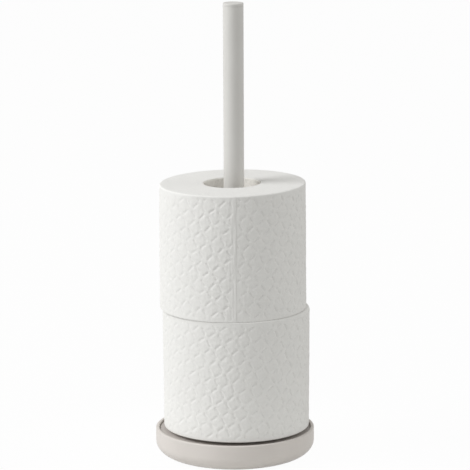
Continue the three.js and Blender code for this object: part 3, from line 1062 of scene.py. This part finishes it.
def roll_profile(outer, bore, width, low_edge, high_edge, dish):
    """Radius and height along the paper's section, and how much of it belongs to the outer sheet."""
    bend = np.linspace(0, math.pi / 2, EDGE_ROWS)
    faces = np.linspace(0, 1, FACE_ROWS + 1)[:-1] ** FACE_SPACING
    low_face = bore + (outer - low_edge - bore) * faces
    high_face = bore + (outer - high_edge - bore) * faces
    low_radius = outer - low_edge * (1 - np.sin(bend))
    high_radius = outer - high_edge * (1 - np.sin(bend))
    low_level = dish + low_edge * (1 - np.cos(bend))
    high_level = width - high_edge * (1 - np.cos(bend))
    lift = dish * smoothstep(low_face, outer - DISH_REACH, outer)
    wall = np.linspace(dish + low_edge, width - high_edge, WALL_ROWS)[1:-1]
    upright = np.full(len(wall), outer)
    inside = np.zeros(FACE_ROWS)
    radius = np.concatenate([low_face, low_radius, upright, high_radius[::-1], high_face[::-1]])
    level = np.concatenate([lift, low_level, wall, high_level[::-1], np.full(FACE_ROWS, width)])
    sheet = np.concatenate([inside, np.ones(2 * EDGE_ROWS + len(wall)), inside])
    return radius, level, sheet


# %% Wound paper
def wound_paper(
    name, core_node, paper_node, tail, slant, phase, phase_drift, swell, oval, edges, dish, lift, seed
):
    """A quilted roll; edges are its low, high and high right roundings, lift is its top's tilt."""
    core_low, core_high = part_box(core_node)
    low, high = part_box(paper_node)
    axis = (core_low + core_high) / 2
    outer = max(high.x - axis.x, axis.x - low.x, high.y - axis.y, axis.y - low.y)
    bore = (core_high.x - core_low.x) / 2 + CORE_TOUCH
    width = high.z - low.z + ROLL_RISE
    radius, level, sheet = roll_profile(outer, bore, width, edges[0], edges[1], dish)
    soft_radius, soft_level, sheet = roll_profile(outer, bore, width, edges[0], edges[2], dish)

    # Columns run round from the free end, and the section grows softer towards the right.
    share = np.linspace(0, 1, ROLL_COLUMNS + 1)
    share_grid, sheet_grid = np.meshgrid(share, sheet, indexing="ij")
    turn = tail + 2 * math.pi * share_grid
    along = outer * (turn - FRONT)
    to_right = np.clip(np.cos(turn), 0, 1) ** 2
    radius_grid = radius + to_right * (soft_radius - radius)
    level_grid = level + to_right * (soft_level - level)

    # The pattern fades out at the cut edges and at the free end.
    from_edge = np.minimum(level_grid - dish, width - level_grid)
    flat_edge = smoothstep(from_edge, EDGE_FLAT, EDGE_FADE)
    drifted = (phase[0] + phase_drift[0] * share_grid, phase[1] + phase_drift[1] * share_grid)
    to_tail = (1 - share_grid) * 2 * math.pi * outer
    past_tail = 2 * math.pi * outer - to_tail
    flat_tail = smoothstep(to_tail, TAIL_FLAT, TAIL_FADE) * smoothstep(past_tail, 0, TAIL_START)
    by_flank = 1 + FLANK_CHANGE * np.cos(turn)
    depth = quilt_depth(along, level_grid, slant, drifted, seed) * by_flank * flat_edge * flat_tail

    # Wide dents, the wrinkles beside the free end and the step of one sheet are added to it.
    dents = DENT_HEIGHT * unevenness(seed + 1, along, level_grid, DENT_LENGTH)
    depth += dents * smoothstep(from_edge, 0, EDGE_FADE)
    near_tail = WRINKLE_HEIGHT * np.exp(-((to_tail / WRINKLE_REACH) ** 2))
    wrinkles = unevenness(seed + 2, along * WRINKLE_SQUEEZE, level_grid, WRINKLE_LENGTH)
    depth += near_tail * wrinkles * flat_edge
    depth += SHEET_STEP * (1 - share_grid)
    lean_out = swell[0] + (swell[1] - swell[0]) * level_grid / width + oval * np.cos(turn)
    radius_grid += sheet_grid * (lean_out - depth)

    # Layers on the end faces sink by uneven amounts, and the top tilts.
    inner_share = (radius_grid - bore) / (outer - bore)
    rings = np.random.default_rng(seed + 3).uniform(0, 1, len(radius))
    loose = smoothstep(inner_share, GLUED_SHARE, LOOSE_SHARE)
    sink = LAYER_SINK * rings[None, :] * loose * (1 - sheet_grid)
    level_grid = level_grid + np.where(level_grid < width / 2, sink, -sink)
    slope = (lift[1] * np.cos(turn) - lift[2] * np.sin(turn)) * radius_grid / outer
    level_grid = level_grid + (lift[0] + slope) * level_grid / width
    points = np.stack([radius_grid * np.cos(turn), radius_grid * np.sin(turn), level_grid], axis=-1)

    paper = grid_piece(name, points, PAPER_SHARP_DEGREES)
    paper.location = (axis.x, axis.y, low.z)
    return paper


# %% Lower roll
lower_paper = wound_paper(
    "lower_roll_quilted_paper",
    "lower_roll_core",
    "lower_roll_paper",
    tail=math.radians(62),
    slant=math.radians(28),
    phase=(0.364, 0.193),
    phase_drift=(0, 0),
    swell=(0.15 * MM, 0.75 * MM),
    oval=0.15 * MM,
    edges=(1.0 * MM, 0.5 * MM, 2.6 * MM),
    dish=2.6 * MM,
    lift=(0, 0, 0),
    seed=31,
)
fit(lower_paper, tissue, "lower_paper", "tissue", "lower_roll_paper")

# %% Upper roll
upper_paper = wound_paper(
    "upper_roll_quilted_paper",
    "upper_roll_core",
    "upper_roll_paper",
    tail=math.radians(-87),
    slant=math.radians(31),
    phase=(0.6, 0.55),
    phase_drift=(0, -0.305),
    swell=(0.4 * MM, 0.1 * MM),
    oval=0.5 * MM,
    edges=(0.5 * MM, 1.3 * MM, 1.3 * MM),
    dish=0,
    lift=(0.6 * MM, 0.75 * MM, 0.4 * MM),
    seed=41,
)
fit(upper_paper, tissue, "upper_paper", "tissue", "upper_roll_paper")

# %% [markdown]
# ## Floor, light and surroundings
#
# The picture is a bright studio shot on white. The key lamp stands on the left and a little in front, and
# it draws the pole's soft shadow on the upper roll. A pale room gives even light from everywhere, and a
# weak lamp on the right keeps that side from going flat. A pale patch under the stand throws light up on
# the base's round edge, and the floor further out is greyer, so that it doesn't outshine the rolls. The
# floor takes the object's shadow. For the camera it is mostly a plain white glow, so it reads as paper.

# %% Floor
FLOOR_SIZE = 30
floor_shape = bmesh.new()
bmesh.ops.create_grid(floor_shape, x_segments=1, y_segments=1, size=FLOOR_SIZE / 2)
floor = mesh_piece("floor", floor_shape)
white_floor, floor_tree, floor_shader = new_material("white floor", Roughness=1.0)
floor_shader.inputs["Specular IOR Level"].default_value = 0.0
floor.data.materials.append(white_floor)
print("floor", FLOOR_SIZE, "m wide")

# %% Floor tone
PATCH_REACH = 75 * MM
PATCH_TONE = colour(0.84, 0.84, 0.83)
FAR_TONE = colour(0.57, 0.57, 0.565)
patch = use_group(floor_tree, SOFT_MOTTLE, Colour=PATCH_TONE, Amount=0.01, Size=0.6)
floor_place = add_node(floor_tree, "TexCoord")
from_stand = add_node(floor_tree, "VectorMath", operation="LENGTH")
floor_tree.links.new(floor_place.outputs["Object"], from_stand.inputs[0])
beyond = ramp(floor_tree, from_stand.outputs["Value"], PATCH_REACH, 3 * PATCH_REACH)
floor_tone = mixed(floor_tree, beyond, patch["Colour"], FAR_TONE)
floor_tree.links.new(floor_tone, floor_shader.inputs["Base Color"])
print("pale patch", round(PATCH_REACH / MM), "mm out from the middle of the stand")

# %% Floor glow
WHITE_SHARE = 0.97
rays = add_node(floor_tree, "LightPath")
seen = maths(floor_tree, "MAXIMUM", rays.outputs["Is Camera Ray"], rays.outputs["Is Glossy Ray"])
seen = maths(floor_tree, "MAXIMUM", seen, rays.outputs["Is Transmission Ray"])
glow = add_node(floor_tree, "Emission")
glow.inputs["Strength"].default_value = 1.0
white_mix = add_node(floor_tree, "MixShader")
feed(floor_tree, maths(floor_tree, "MULTIPLY", seen, WHITE_SHARE), white_mix.inputs["Fac"])
floor_tree.links.new(floor_shader.outputs[0], white_mix.inputs[1])
floor_tree.links.new(glow.outputs[0], white_mix.inputs[2])
floor_tree.links.new(white_mix.outputs[0], floor_tree.nodes["Material Output"].inputs["Surface"])
print("white glow takes", WHITE_SHARE, "of what the camera sees of the floor")

# %% Room light
ROOM_LEVEL = 0.53
room = bpy.data.worlds.new("white room")
room.use_nodes = True
bpy.context.scene.world = room
room_tree = room.node_tree
ambient = room_tree.nodes["Background"]
ambient.inputs["Color"].default_value = colour(1.0, 0.995, 0.975)
ambient.inputs["Strength"].default_value = ROOM_LEVEL
backdrop = add_node(room_tree, "Background")
backdrop.inputs["Color"].default_value = colour(1.0, 1.0, 1.0)
backdrop.inputs["Strength"].default_value = 1.0
room_rays = add_node(room_tree, "LightPath")
room_mix = add_node(room_tree, "MixShader")
room_tree.links.new(room_rays.outputs["Is Camera Ray"], room_mix.inputs["Fac"])
room_tree.links.new(ambient.outputs[0], room_mix.inputs[1])
room_tree.links.new(backdrop.outputs[0], room_mix.inputs[2])
room_tree.links.new(room_mix.outputs[0], room_tree.nodes["World Output"].inputs["Surface"])
print("room light at", ROOM_LEVEL)

# %% Lamps
AIM = Vector((0, 0, cad_box[1][2] / 2))


def soft_lamp(name, azimuth, elevation, distance, size, power, tint):
    """A square soft lamp aimed at the middle of the object; azimuth runs from the front to the right."""
    lamp = bpy.data.lights.new(name, "AREA")
    lamp.size = size
    lamp.energy = power
    lamp.color = tint
    holder = bpy.data.objects.new(name, lamp)
    bpy.context.scene.collection.objects.link(holder)
    flat = math.cos(math.radians(elevation))
    side = math.sin(math.radians(azimuth)) * flat
    front = -math.cos(math.radians(azimuth)) * flat
    away = Vector((side, front, math.sin(math.radians(elevation))))
    holder.location = AIM + away * distance
    holder.rotation_euler = away.to_track_quat("Z", "Y").to_euler()
    print(name, "at", [round(value, 2) for value in holder.location], "m,", power, "W")


soft_lamp(
    "key lamp", azimuth=-77, elevation=38, distance=2.4, size=1.3, power=37, tint=(0.985, 0.99, 1.0)
)
soft_lamp(
    "fill lamp", azimuth=90, elevation=24, distance=2.4, size=1.7, power=8.4, tint=(1.0, 0.99, 0.97)
)

# %% [markdown]
# ## Picture settings
#
# The Standard view transform shows colours as they are written.

# %% Finish
bpy.context.scene.view_settings.view_transform = "Standard"
bpy.context.view_layer.update()
